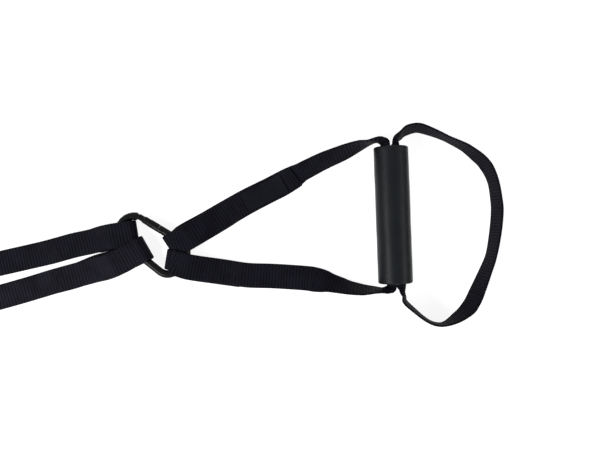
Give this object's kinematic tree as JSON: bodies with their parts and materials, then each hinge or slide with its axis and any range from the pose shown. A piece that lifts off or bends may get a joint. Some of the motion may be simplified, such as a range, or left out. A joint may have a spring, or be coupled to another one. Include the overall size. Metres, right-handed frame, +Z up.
{
  "type": "suspension trainer handle strap",
  "caption": "Suspension trainer unit: foam grip and foot loop on webbing, clipped by a snap hook to an adjustable strap with a cam buckle and an anchor hook.",
  "frame": {"origin": "under the middle of the whole part, on the surface that it lies on", "axes": "+X from the anchor hook towards the foot loop, +Y along the grip towards its upper end in the picture, +Z up from the surface"},
  "size_m": [0.7776, 0.2366, 0.034],
  "materials": {
    "webbing": "matt woven polyester, black with a blue tinge",
    "label": "bare matt woven patch",
    "thread": "matt sewing thread",
    "foam": "matt charcoal foam rubber",
    "plastic": "matt black",
    "steel": "satin black coating",
    "pin_steel": "dark plated",
    "spring_steel": "bright wire"
  },
  "bodies": {
    "strap": {"load_strap": "webbing", "buckle_strap": "webbing", "buckle_frame": "steel", "buckle_pin": "pin_steel", "buckle_spring": "spring_steel", "seam_load": "thread", "seam_buckle": "thread"},
    "cam": {"buckle_cam": "steel"},
    "anchor_hook": {"anchor_carabiner_body": "steel", "anchor_carabiner_pin": "pin_steel"},
    "anchor_gate": {"anchor_carabiner_gate": "steel", "anchor_carabiner_spring": "spring_steel"},
    "handle_hook": {"handle_carabiner_body": "steel", "handle_carabiner_pin": "pin_steel"},
    "handle_gate": {"handle_carabiner_gate": "steel", "handle_carabiner_spring": "spring_steel"},
    "handle": {"handle_strap": "webbing", "label": "label", "seam_handle_upper": "thread", "seam_handle_lower": "thread"},
    "grip": {"grip_foam": "foam", "grip_core": "plastic"},
    "foot": {"foot_loop": "webbing"}
  },
  "joints": [
    {"name": "cam_open", "type": "hinge", "parent": "strap", "child": "cam", "pos_m": [-0.178, -0.03564, 0.0093], "axis": [-0.2317, 0.9728, 0], "range_deg": [0, 75], "stiffness_Nm_per_rad": 0.02},
    {"name": "anchor_hook_swing", "type": "hinge", "parent": "strap", "child": "anchor_hook", "pos_m": [-0.31446, -0.08589, 0.0064], "axis": [0, 0, 1], "range_deg": [-5, 5]},
    {"name": "anchor_gate_open", "type": "hinge", "parent": "anchor_hook", "child": "anchor_gate", "pos_m": [-0.37104, -0.08356, 0.0064], "axis": [0, 0, -1], "range_deg": [0, 20], "stiffness_Nm_per_rad": 0.02},
    {"name": "handle_hook_swing", "type": "hinge", "parent": "strap", "child": "handle_hook", "pos_m": [0.02646, 0.01239, 0.0085], "axis": [0, 0, 1], "range_deg": [-4, 2]},
    {"name": "handle_gate_open", "type": "hinge", "parent": "handle_hook", "child": "handle_gate", "pos_m": [0.03727, 0.02356, 0.0085], "axis": [0, 0, -1], "range_deg": [0, 18], "stiffness_Nm_per_rad": 0.02},
    {"name": "handle_swing", "type": "hinge", "parent": "handle_hook", "child": "handle", "pos_m": [0.05966, -0.01132, 0.0085], "axis": [0, 0, 1], "range_deg": [-3, 4]},
    {"name": "grip_spin", "type": "hinge", "parent": "handle", "child": "grip", "pos_m": [0.28283, 0.02855, 0.017], "axis": [0.036, -0.9994, 0], "continuous": true},
    {"name": "foot_loop_swing", "type": "hinge", "parent": "handle", "child": "foot", "pos_m": [0.28283, 0.02855, 0.017], "axis": [0.036, -0.9994, 0], "range_deg": [-8, 8]}
  ]
}
